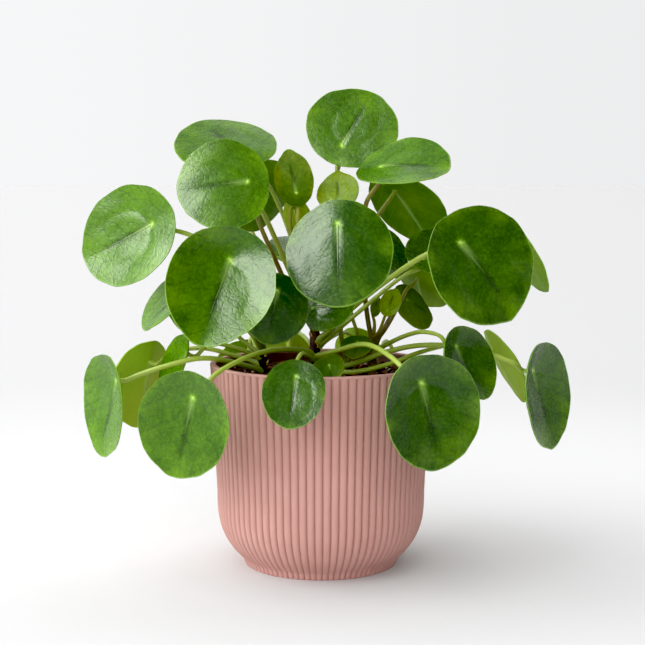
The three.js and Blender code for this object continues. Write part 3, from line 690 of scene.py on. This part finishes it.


# ---------------------------------------------------------------- the leaves
# Every leaf is one growth: a round glossy blade held near its middle by a long
# stalk. The blade is shaped once as a flat disc with both faces and a rounded
# rim; each copy is bent to its own leaf and joined to a stalk drawn along its route.

# Each leaf in millimetres and degrees, in this order:
#   hub, where stalk and blade meet
#   the way it faces (0 front, 90 right), its tilt (0 looks up), its turn in its own plane
#   the blade's length and width, then its cup, fold and curl
#   the stem and the height that its stalk grows from
#   tone, how light the blade is: its own colour, with painted shade and light leaf by leaf; and bronze, how
#       brown the stalk
#   the points that the stalk passes on its way
leaves = {
    "upper_leaf_1": (
        (13, -10, 264), (-6, 67, 206), (54, 59), (0, 0.02, -4), ("middle", 126), 0.32, 0.45,
        [(14, 2, 138), (12, 2, 153), (9, -3, 173), (7, -4, 200), (8, -4, 237)]),
    "upper_leaf_2": (
        (36, -34, 251), (-37, 31, -100), (57, 54), (0, 0.17, -12), ("right", 137), 0.34, 0.75,
        [(29, 1, 160), (26, -6, 195), (28, -21, 229)]),
    "upper_leaf_3": (
        (-51, -5, 260), (2, 29, 150), (67, 65), (-2, -0.03, 2), ("main", 161), 0.3, 0.42,
        [(-10, 1, 169), (-17, 2, 180), (-34, -1, 218), (-47, -5, 243)]),
    "upper_leaf_4": (
        (-44, -35, 242), (10, 64, 86), (55, 60), (-1, 0.04, -15), ("main", 149), 0.34, 0.75,
        [(-11, -2, 158), (-19, -5, 172), (-26, -10, 188), (-37, -21, 215)]),
    "upper_leaf_5": (
        (-37, 30, 242), (-143, 63, 12), (54, 52), (4, 0.1, 3), ("main", 181), 0.35, 0.35,
        [(-16, 11, 200), (-25, 22, 222)]),
    "upper_leaf_6": (
        (48, 20, 236), (140, 47, 12), (59, 58), (-2, 0.09, -4), ("main", 173), 0.35, 0.6,
        [(14, 3, 185), (27, 9, 207), (40, 14, 225)]),
    "upper_leaf_7": (
        (-64, 66, 262), (-160, 65, 0), (52, 50), (3, 0.1, -4), ("main", 163), 0.4, 0.4,
        [(-5, 24, 181), (-40, 54, 199), (-57, 68, 235)]),
    "upper_leaf_8": (
        (24, 52, 283), (170, 60, 0), (40, 39), (3, 0.1, -4), ("main", 182), 0.4, 0.4,
        [(11, 9, 194), (11, 28, 225), (12, 42, 262)]),
    "middle_leaf_1": (
        (-103, -25, 216), (-26, 74, 62), (67, 64), (1, 0.09, 1), ("main", 158), 0.5, 0.25,
        [(-31, -20, 180), (-55, -26, 197), (-82, -22, 210)]),
    "middle_leaf_2": (
        (-52, -75, 197), (7, 66, 20), (73, 62), (6, 0.25, -4), ("left", 137), 0.3, 0.35,
        [(-41, -8, 146), (-46, -25, 162), (-51, -48, 184)]),
    "middle_leaf_3": (
        (-84, -25, 176), (-58, 48, 20), (46, 44), (2, 0.12, -2), ("left", 135), 0.5, 0.2,
        [(-46, 2, 148), (-62, -5, 163)]),
    "middle_leaf_4": (
        (-76, 14, 176), (-10, 80, 0), (46, 44), (2, 0.1, -3), ("left", 132), 0.6, 0.2,
        [(-52, 12, 142), (-66, 19, 158)]),
    "middle_leaf_5": (
        (10, -65, 218), (-9, 62, -4), (66, 64), (-2, -0.15, -8), ("main", 176), 0.08, 0.3,
        [(1, -25, 196), (7, -48, 210)]),
    "middle_leaf_6": (
        (83, -50, 206), (25, 72, -36), (73, 75), (0, 0.15, -8), ("main", 140), 0.12, 0.05,
        [(9, -6, 152), (18, -13, 162), (37, -26, 179), (64, -45, 199)]),
    "middle_leaf_7": (
        (122, 15, 202), (103, 61, 37), (52, 50), (1, 0.07, 0), ("main", 163), 0.5, 0.2,
        [(15, 9, 180), (41, 22, 190), (86, 20, 203)]),
    "middle_leaf_8": (
        (39, 8, 204), (46, 67, 0), (34, 33), (2, 0.09, 1), ("main", 160), 0.18, 0.2,
        [(15, 5, 175), (28, 10, 190)]),
    "middle_leaf_9": (
        (64, -10, 194), (-3, 39, -113), (44, 44), (3, 0.02, -2), ("main", 136), 0.22, 0.1,
        [(18, -3, 155), (35, -7, 170), (53, -8, 184)]),
    "middle_leaf_10": (
        (63, 20, 180), (128, 49, -28), (41, 40), (2, 0.11, 0), ("right", 139), 0.6, 0.7,
        [(41, -4, 150), (50, -1, 166), (55, 7, 174)]),
    "middle_leaf_11": (
        (-26, -45, 177), (15, 83, 12), (43, 42), (0, 0.12, -2), ("main", 152), 0.0, 0.3,
        [(-17, -18, 166)]),
    "middle_leaf_12": (
        (-5, -38, 166), (-33, 60, -106), (33, 31), (-5, 0.1, -3), ("main", 148), 0.12, 0.2,
        [(-4, -18, 158)]),
    "middle_leaf_13": (
        (-13, 26, 195), (0, 20, 180), (46, 46), (0, 0.08, -3), ("main", 177), 0.45, 0.3,
        [(-8, 13, 183)]),
    "middle_leaf_14": (
        (16, 64, 200), (175, 72, 0), (54, 52), (3, 0.12, -5), ("main", 168), 0.4, 0.3,
        [(4, 22, 188), (12, 44, 196)]),
    "middle_leaf_15": (
        (104, 54, 195), (125, 75, 0), (56, 54), (3, 0.12, -5), ("main", 155), 0.4, 0.3,
        [(25, 18, 178), (60, 36, 194), (85, 47, 200)]),
    "middle_leaf_16": (
        (-64, 55, 180), (-145, 78, 0), (52, 50), (3, 0.12, -5), ("main", 156), 0.4, 0.3,
        [(-20, 14, 174), (-42, 34, 186)]),
    "lower_leaf_1": (
        (-125, -35, 121), (-59, 89, 15), (63, 62), (6, 0.06, 1), ("left", 122), 0.45, 0,
        [(-45, -8, 126), (-72, -28, 134), (-97, -32, 129), (-112, -32, 124)]),
    "lower_leaf_2": (
        (-111, 15, 126), (-122, 80, -5), (57, 56), (0, 0.22, -1), ("left", 126), 0.95, 0.1,
        [(-54, 12, 130), (-77, 22, 134), (-97, 23, 131)]),
    "lower_leaf_3": (
        (-85, -5, 134), (-67, 72, 5), (46, 44), (3, 0.2, -2), ("left", 130), 0.5, 0.1,
        [(-51, -1, 136), (-70, -3, 140)]),
    "lower_leaf_4": (
        (-75, -70, 116), (-25, 84, 10), (63, 62), (4, 0.07, -3), ("main", 133), 0.3, 0.05,
        [(-14, -11, 137), (-31, -30, 139), (-50, -52, 135), (-64, -62, 127)]),
    "lower_leaf_5": (
        (-14, -85, 131), (-2, 56, 6), (42, 37), (0, 0.08, -5), ("main", 129), 0.16, 0.05,
        [(-9, -20, 135), (-12, -50, 139), (-14, -70, 136)]),
    "lower_leaf_6": (
        (58, -85, 127), (29, 81, -9), (67, 66), (4, 0.13, -6), ("main", 131), 0.12, 0,
        [(9, -18, 137), (28, -50, 145), (41, -68, 140), (50, -78, 132)]),
    "lower_leaf_7": (
        (82, -40, 143), (42, 76, -14), (46, 43), (5, 0.04, 10), ("right", 134), 0.15, 0.05,
        [(45, -8, 142), (54, -16, 147), (63, -26, 150), (73, -34, 148)]),
    "lower_leaf_8": (
        (111, 12, 135), (103, 63, 6), (52, 50), (2, 0.08, 0), ("main", 124), 0.85, 0.05,
        [(20, -18, 124), (45, -12, 129), (61, -3, 134), (88, 8, 138)]),
    "lower_leaf_9": (
        (131, -25, 126), (56, 84, -13), (66, 63), (6, 0.08, -1), ("main", 127), 0.16, 0.05,
        [(16, -10, 127), (40, -8, 135), (62, -12, 140), (93, -20, 139), (118, -28, 131)]),
    "lower_leaf_10": (
        (24, 74, 133), (160, 80, 0), (36, 34), (2, 0.1, -3), ("main", 130), 0.6, 0.1,
        [(2, 25, 137), (14, 50, 141), (20, 63, 138)]),
    "lower_leaf_11": (
        (-23, 76, 131), (195, 80, 0), (40, 38), (2, 0.1, -3), ("main", 133), 0.8, 0.1,
        [(-8, 25, 138), (-16, 52, 141), (-20, 65, 137)]),
    "lower_leaf_12": (
        (-52, 82, 120), (-150, 84, 0), (50, 48), (3, 0.12, -4), ("left", 124), 0.4, 0.1,
        [(-42, 30, 132), (-46, 55, 137), (-49, 70, 130)]),
    "lower_leaf_13": (
        (56, 80, 108), (145, 86, 0), (52, 50), (3, 0.12, -4), ("right", 127), 0.4, 0.1,
        [(38, 25, 131), (44, 52, 135), (50, 70, 124)]),
    "young_leaf_1": (
        (-15, -22, 235), (-15, 87, 166), (34, 25), (-2, 0.07, 0), ("main", 185), 0.25, 0.3,
        [(-12, -10, 200), (-14, -17, 218)]),
    "young_leaf_2": (
        (11, -24, 229), (-20, 55, 165), (30, 27), (0, 0.1, 0), ("middle", 123), 0.62, 0.4,
        [(23, 4, 144), (20, 5, 156), (17, -2, 172), (15, -5, 192), (12, -13, 216)]),
    "young_leaf_3": (
        (-16, -6, 226), (150, 75, 0), (24, 20), (1, 0.1, 0), ("main", 181), 0.9, 0.4,
        [(-17, -4, 205)]),
    "young_leaf_4": (
        (55, 7, 167), (54, 59, -62), (35, 33), (-4, 0.06, 1), ("right", 135), 0.5, 0.6,
        [(44, 5, 156)]),
    "young_leaf_5": (
        (41, -21, 163), (4, 72, 205), (18, 13), (2, 0.12, 1), ("right", 142), 0.9, 0.5,
        [(37, -11, 150)]),
    "young_leaf_6": (
        (34, 0, 160), (30, 95, 187), (13, 8), (1, 0.1, 0), ("right", 144), 0.95, 0.5,
        [(34, 1, 152)]),
    "young_leaf_7": (
        (5, -52, 133), (-23, 52, -26), (20, 20), (4, 0.1, -1), ("main", 126), 0.1, 0.3,
        [(0, -20, 130), (4, -38, 132)]),
    "young_leaf_8": (
        (23, -9, 142), (-10, 33, 0), (21, 20), (1, 0.1, -1), ("middle", 128), 0.1, 0.3,
        [(20, -4, 135)]),
}

blade_thickness = 0.9
full_length = 60     # a leaf this long has veins, waves and ripples of full size
hub_offset = 0.25    # from the blade's middle to its hub, in leaf lengths
valley_rounding = 2.5
ridge_rounding = 16
ridge_height = 1.5
rib_groove = 0.15
rib_height = 0.35
valley_depth = 0.28
dimple_depth = 0.25
wave_height = 0.34
ripple_height = 0.16
blade_segments = 80
blade_rings = (0.975, 0.95, 0.92, 0.885, 0.85, 0.81, 0.77, 0.73, 0.69, 0.65, 0.61, 0.57, 0.53, 0.49,
               0.45, 0.41, 0.37, 0.33, 0.29, 0.25, 0.21, 0.17, 0.135, 0.105, 0.078, 0.053, 0.03)
rim_inset = 0.992
rim_flats = 9
flatness = 0.22
crowding = 1.6       # draws the segments together towards the tip

# where a side vein's valley runs, in leaf lengths: how far out from the midrib, how
# soon it gets there, how much it closes in again, and where it ends
vein_out = 0.27
vein_bend = 0.09
vein_slope = vein_out / vein_bend
vein_closing = 0.6
vein_end = 0.75

# the flat disc: rim half way down its thickness, one face above it and one below
disc = start_ring("blade_pattern", blade_segments, 1000, -500)
draw_up((1, -500), [(rim_inset, 0)] + [(ring, 0) for ring in blade_rings])
close_ring()
pick(disc, lambda place: abs(place.z + 0.5) < 0.01)
draw_up((1, -500), [(rim_inset, -1000)] + [(ring, -1000) for ring in blade_rings])
close_ring()
finish_shape(disc, 60)
disc_points = np.array([vertex.co for vertex in disc.data.vertices])
disc_ring = np.hypot(disc_points[:, 0], disc_points[:, 1])
disc_ring[disc_ring < 1e-4] = 0
disc_level = disc_points[:, 2]
disc_angle = np.arctan2(disc_points[:, 0], disc_points[:, 1])
disc_angle = np.pi * np.sign(disc_angle) * (np.abs(disc_angle) / np.pi) ** crowding


def blade_directions(facing, tilt, turn):
    """Out of the blade's face, towards its side and towards its tip."""
    facing, tilt = math.radians(facing), math.radians(tilt)
    level = Vector((math.sin(facing), -math.cos(facing), 0))
    up = Vector((0, 0, 1))
    out = level * math.sin(tilt) + up * math.cos(tilt)
    down = level * math.cos(tilt) - up * math.sin(tilt)
    tip = Matrix.Rotation(-math.radians(turn), 3, out) @ down
    return out, tip.cross(out), tip


def bent_blade(hub, directions, long, wide, bend, tip_point):
    """Points of the blade, and the place of each across and along it in leaf lengths."""
    out, side, tip = (np.array(way) for way in directions)
    cup, fold, curl = bend
    size = long / full_length
    flats = (np.arange(rim_flats) + chance.uniform(0.1, 0.7, rim_flats)) * 2 * np.pi / rim_flats
    corner = np.searchsorted(flats, disc_angle % (2 * np.pi)) % rim_flats
    before, after = flats[corner - 1], flats[corner]
    half = ((after - before) % (2 * np.pi)) / 2
    chord = np.cos(half) / np.cos((disc_angle - before) % (2 * np.pi) - half)
    nicks = 0.004 * np.sin(11 * disc_angle + flats[0]) + 0.003 * np.sin(17 * disc_angle + 5 * flats[1])
    pointed = tip_point * np.exp(-(disc_angle / 0.3) ** 2)
    reach = (1.004 + flatness * (chord - 1) + nicks + pointed) * disc_ring
    across = wide / 2 * np.sin(disc_angle) * reach
    along = hub_offset * long * disc_ring + long / 2 * np.cos(disc_angle) * reach
    from_hub = np.hypot(across, along)
    rounding, fuller = (valley_rounding, 1) if fold > 0 else (ridge_rounding, ridge_height)
    folded = fuller * (np.hypot(across, rounding) - rounding)
    rise = cup * disc_ring ** 1.6 + fold * folded + curl * (along / long) * np.abs(along / long)

    # midrib: a narrowing groove above and a rib below, both gone before the tip
    share = np.clip(along / (0.75 * long), 0, 1)
    cord_width = (1.25 - 0.8 * share) * size
    cord = np.exp(-(across / cord_width) ** 2) * np.where(along > 0, (1 - share) ** 0.7, 0)
    stands_out = rib_groove + rib_height * (disc_level < -0.25)
    rise -= cord * stands_out * size * np.clip(from_hub / (4 * size), 0, 1)

    # the two side veins lie in shallow valleys that arc from the hub towards the tip
    ahead = np.clip(along / long, 0, vein_end)
    yet_to_bend = np.exp(-ahead / vein_bend)
    arc = (1 - yet_to_bend) * vein_out * (1 - vein_closing * (ahead / vein_end) ** 3)
    beside = (np.abs(across / long) - arc) / np.hypot(1, vein_slope * yet_to_bend)
    valley = np.exp(-(beside * long / (2.4 * size)) ** 2) * np.clip(along / long / 0.05, 0, 1)
    rise -= valley_depth * size * valley * np.clip((0.62 - ahead) / 0.2, 0, 1)

    # a dimple over the stalk, and slow waves that grow towards the rim
    rise -= dimple_depth * size * np.exp(-(from_hub / (2.4 * size)) ** 2)
    phase = chance.uniform(0, 2 * np.pi, 6)
    sway = chance.uniform(0.5, 1, 3)
    waves = (sway[0] * np.sin(2 * disc_angle + phase[0]) * disc_ring ** 2
             + sway[1] * np.sin(3 * disc_angle + phase[1]) * disc_ring ** 3
             + 0.6 * sway[2] * np.sin(5 * disc_angle + phase[2]) * disc_ring ** 4)
    ripple = (np.sin(across / (3.6 * size) + phase[3]) * np.sin(along / (4.4 * size) + phase[4])
              * np.clip(from_hub / (12 * size), 0, 1))
    rise += (wave_height * waves + ripple_height * ripple) * size
    rise += disc_level * blade_thickness
    points = (np.array(hub) + across[:, None] * side + along[:, None] * tip + rise[:, None] * out) * mm
    return points, across / long, along / long


stalk_approach = 6   # a stalk runs this far square to its blade before it meets it
stalk_steps = 10


def smooth_route(points):
    """A centripetal curve through the points."""
    points = [Vector(point) for point in points]
    points = [points[0] * 2 - points[1]] + points + [points[-1] * 2 - points[-2]]
    route = []
    for a, b, c, d in zip(points, points[1:], points[2:], points[3:]):
        t = [0.0]
        for first, second in ((a, b), (b, c), (c, d)):
            t.append(t[-1] + max(1e-4, (second - first).length) ** 0.5)
        for n in range(stalk_steps):
            at = t[1] + (t[2] - t[1]) * n / stalk_steps

            def between(p, q, low, high):
                return p * ((high - at) / (high - low)) + q * ((at - low) / (high - low))

            ab, bc, cd = between(a, b, t[0], t[1]), between(b, c, t[1], t[2]), between(c, d, t[2], t[3])
            route.append(between(between(ab, bc, t[0], t[2]), between(bc, cd, t[1], t[3]), t[1], t[2]))
    return route + [points[-2]]


def stalk_route(root, via, hub, out, long):
    """From inside the stem to just inside the blade, which it meets square."""
    end = Vector(hub) - out * (blade_thickness * 0.6)
    approach = min(stalk_approach, long / 5)
    return smooth_route([root] + via + [end - out * approach, end])


def grow_stalk(name, route, long, stem_girth):
    """A round bar along its route, swollen where it leaves the stem and meets the blade."""
    walked = [0.0]
    for here, there in zip(route, route[1:]):
        walked.append(walked[-1] + (there - here).length)
    thickness = 0.85 + 0.013 * long
    foot_length = stem_girth + 2
    curve = bpy.data.curves.new(name, "CURVE")
    curve.dimensions = "3D"
    curve.bevel_depth = 1 * mm
    curve.bevel_resolution = 2
    curve.use_fill_caps = True
    spline = curve.splines.new("POLY")
    spline.points.add(len(route) - 1)
    for point, place, gone in zip(spline.points, route, walked):
        left = walked[-1] - gone
        point.co = (*(place * mm), 1)
        point.radius = thickness * (1.03 - 0.17 * gone / walked[-1]
                                    + 0.55 * math.exp(-((gone / foot_length) ** 2))
                                    + 0.30 * math.exp(-((left / 2.2) ** 2)))
    stalk = bpy.data.objects.new(name, curve)
    scene.collection.objects.link(stalk)
    choose(stalk)
    bpy.ops.object.convert(target="MESH")
    stalk = bpy.context.object
    centres = np.array(route)
    points = np.array([vertex.co for vertex in stalk.data.vertices]) / mm
    nearest = ((points[:, None, :] - centres[None]) ** 2).sum(2).argmin(1)
    mark(stalk.data, "reached", (np.array(walked) / walked[-1])[nearest])
    stalk.data.shade_smooth()
    return stalk


vein_tone = tint(16, 42, 2)
vein_tone_below = tint(160, 196, 116)
sheen_tint = (0.97, 1.0, 0.92, 1)


def read_blade(finish, band_width, band_end, rib_width, rib_tip, rib_end):
    """Where a point lies on its blade, in leaf lengths: its place, and how far it is along the
    blade, beside the midrib and from the hub; then whether it is on the midrib, and in the
    soft band round it. An end is where it has faded out and where it starts to."""
    where = finish.add("UVMap", {"uv_map": "blade"})
    x, y, _ = finish.split(where)
    side = abs(x)
    from_hub = (x * x + y * y) ** 0.5
    band = side.fade(band_width, 0.0063) * y.fade(-0.01, 0.02) * y.fade(*band_end)
    width = rib_width - (rib_width - rib_tip) * (y.most(0) / 0.7).least(1)
    midrib = (side / width).fade(1, 0.3) * y.fade(0, 0.02) * y.fade(*rib_end)
    return where, y, side, from_hub, midrib, band


def branches(slant, width, from_hub):
    """Small veins that run slantwise from the midrib, one for each whole step of `slant`."""
    return abs(slant.sum("FRACT", slant) - 0.5).fade(width, 0) * from_hub.fade(0.05, 0.14)


def blade_finish(name, dark, light, warm, roughness, gloss, pebbled):
    """The glossy upper face: deep green, finely pebbled, with a lime spot over the stalk."""
    material, finish = new_finish(name)
    where, y, side, from_hub, midrib, band = read_blade(
        finish, band_width=0.0569, band_end=(0.62, 0.4), rib_width=0.013, rib_tip=0.004, rib_end=(0.66, 0.42))
    place = finish.place()
    tone_and_painted_light = finish.mark("tone_and_painted_light")
    ring = finish.mark("ring")

    # small wandering branches, and a faint net between them
    branch = branches((y - side * 0.8 + finish.noise(where, 7, 2) * 0.22) * 7.5, 0.12, from_hub)
    net = finish.add("TexVoronoi", {"feature": "DISTANCE_TO_EDGE"}, {"Vector": place, "Scale": 230})
    net = net.fade(0.12, 0)

    cloud = finish.noise(place, 55, 3, 0.55)
    mottle = finish.noise(place, 480, 3, 0.65)
    # each leaf's tone is its own colour with painted shade and light mixed in
    green = finish.mix((tone_and_painted_light + (cloud - 0.5) * 0.5 + (mottle - 0.5) * 0.5).fade(-0.15, 1.1), dark, light)
    green = finish.mix(ring.fade(0.55, 1) * cloud.fade(0.35, 0.7) * 0.35, green, warm)
    green = finish.mix(band * 0.5 + branch * 0.26 + net * 0.18, green, vein_tone)
    dark_line = side.fade(0.007, 0.0014) * y.fade(0.24, 0.42) * y.fade(0.68, 0.5)
    green = finish.mix(dark_line * 0.5, green, vein_tone)

    # pale rays and a lime star over the stalk, and a pale rim
    wheel = finish.noise(finish.add("VectorMath", {"operation": "NORMALIZE"}, {0: where}), 3.2, 2)
    starry = from_hub - (wheel - 0.5) * 0.09
    rays = (midrib * starry.fade(0.4, 0.05)).most(band * starry.fade(0.26, 0.02))
    green = finish.mix(rays * 0.42, green, tint(150, 190, 90))
    green = finish.mix(starry.fade(0.065, 0.0) * 0.45, green, tint(120, 175, 20))
    green = finish.mix(starry.fade(0.034, 0.006) * 0.8, green, tint(140, 186, 44))
    green = finish.mix(starry.fade(0.018, 0.0) * 0.7, green, tint(206, 222, 140))
    green = finish.mix(ring.fade(0.978, 0.994) * 0.55, green, tint(140, 182, 70))

    pebble = finish.add("TexVoronoi", {"feature": "SMOOTH_F1"}, {"Vector": place, "Scale": 520})
    wrinkle = finish.noise(finish.stretch(place, (1, 1, 0.55)), 420, 2, 0.55)
    grit = finish.noise(place, 1500, 1)
    height = (wrinkle * 0.055 * pebbled + pebble * 0.06 * pebbled + grit * 0.02 - band * 0.16
              - branch * 0.03 - net * 0.03 + midrib * 0.12)
    finish.surface({
        "Base Color": green,
        "Roughness": roughness + mottle * 0.08,
        "Specular IOR Level": gloss,
        "Specular Tint": sheen_tint,
        "Normal": finish.raised(height),
    })
    return material


def underside_finish(name, dark, light):
    """The matt lower face, paler, with the midrib and its branches standing out."""
    material, finish = new_finish(name)
    _, y, side, from_hub, midrib, band = read_blade(
        finish, band_width=0.0443, band_end=(0.68, 0.5), rib_width=0.022, rib_tip=0.006, rib_end=(0.7, 0.5))
    branch = branches((y - side * 0.8) * 8.5, 0.08, from_hub)
    place = finish.place()
    tone_and_painted_light = finish.mark("tone_and_painted_light")
    cloud = finish.noise(place, 60, 3, 0.55)
    fine = finish.noise(place, 700, 2)
    # the tone is its own colour with painted shade and light mixed in
    green = finish.mix((tone_and_painted_light + (cloud - 0.5) * 0.7 + (fine - 0.5) * 0.35).fade(0, 1), dark, light)
    green = finish.mix(midrib * 0.38 + band * 0.3 + branch * 0.16, green, vein_tone_below)
    green = finish.mix(from_hub.fade(0.05, 0.02) * 0.7, green, tint(160, 190, 90))
    finish.surface({
        "Base Color": green,
        "Roughness": 0.6,
        "Specular IOR Level": 0.15,
        "Normal": finish.raised(midrib * 0.25 + band * 0.25 + branch * 0.12 + fine * 0.06),
    })
    return material


def stalk_finish(name, fresh_tone, brown_tone):
    """Smooth and slightly glossy, from yellow-green to brown, fresher towards the blade, with painted shade
    darkening it near the stem.
    """
    material, finish = new_finish(name)
    place = finish.place()
    bronze = finish.mark("bronze")
    reached = finish.mark("reached")
    streak = finish.noise(finish.stretch(place, (1, 1, 0.25)), 500, 2)
    patch = finish.noise(place, 70, 2)
    brown = (bronze * (1.25 - reached * 0.55) + (patch - 0.5) * 0.4 + (streak - 0.5) * 0.25).fade(0.05, 0.95)
    skin = finish.mix(brown, fresh_tone, brown_tone)
    # painted shade: darker green near the stem, under the leaves
    skin = finish.mix(reached.fade(0.5, 0.0) * 0.6, skin, tint(76, 96, 14))
    skin = finish.mix(reached.fade(0.93, 1.0) * 0.5, skin, tint(160, 190, 80))
    finish.surface({
        "Base Color": skin,
        "Roughness": 0.42,
        "Specular IOR Level": 0.5,
        "Normal": finish.raised(streak * 0.12),
    })
    return material


grown = (blade_finish("grown blade", dark=tint(24, 62, 0), light=tint(104, 156, 8), warm=tint(116, 158, 8),
                      roughness=0.23, gloss=0.6, pebbled=1.0),
         underside_finish("grown underside", dark=tint(62, 112, 6), light=tint(150, 184, 56)),
         stalk_finish("grown stalk", fresh_tone=tint(158, 180, 70), brown_tone=tint(104, 68, 34)))
young = (blade_finish("young blade", dark=tint(42, 78, 0), light=tint(122, 148, 4), warm=tint(146, 142, 8),
                      roughness=0.30, gloss=0.2, pebbled=0.6),
         underside_finish("young underside", dark=tint(96, 128, 10), light=tint(144, 168, 40)),
         stalk_finish("young stalk", fresh_tone=tint(150, 160, 56), brown_tone=tint(116, 80, 40)))

young_tip = 0.12     # how far the tip is drawn out, as a share of half the blade
grown_tip = 0.04

for name, (hub, facing, (long, wide), bend, (kind, root), tone_and_painted_light, bronze, via) in leaves.items():
    is_young = name.startswith("young")
    directions = blade_directions(*facing)
    tip_point = young_tip if is_young else grown_tip
    points, across, along = bent_blade(hub, directions, long, wide, bend, tip_point)
    shape = disc.data.copy()
    shape.vertices.foreach_set("co", points.astype(np.float32).ravel())
    blade = bpy.data.objects.new(name + "_grown", shape)
    scene.collection.objects.link(blade)
    corners = np.empty(len(shape.loops), np.int32)
    shape.loops.foreach_get("vertex_index", corners)
    spread = shape.uv_layers.new(name="blade")
    spread.data.foreach_set("uv", np.stack([across, along], 1)[corners].astype(np.float32).ravel())
    mark(shape, "ring", disc_ring)
    for finish_of_part in young if is_young else grown:
        shape.materials.append(finish_of_part)
    for face in shape.polygons:
        middle = sum(disc_level[v] for v in face.vertices) / len(face.vertices)
        face.material_index = 0 if middle > -0.5 else 1
    stem = stems[kind]
    route = stalk_route((stem["x"], stem["y"], root), via, hub, directions[0], long)
    stalk = grow_stalk(name + "_stalk", route, long, stem["girth"])
    stalk.data.materials.append((young if is_young else grown)[2])
    choose(blade, stalk)
    bpy.ops.object.join()
    # the tone carries painted shade and light as well as the leaf's own colour
    for word, value in (("tone_and_painted_light", tone_and_painted_light), ("bronze", bronze)):
        mark(blade.data, word, [value] * len(blade.data.vertices))
    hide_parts(name)
    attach(blade, "root")
bpy.data.objects.remove(disc)
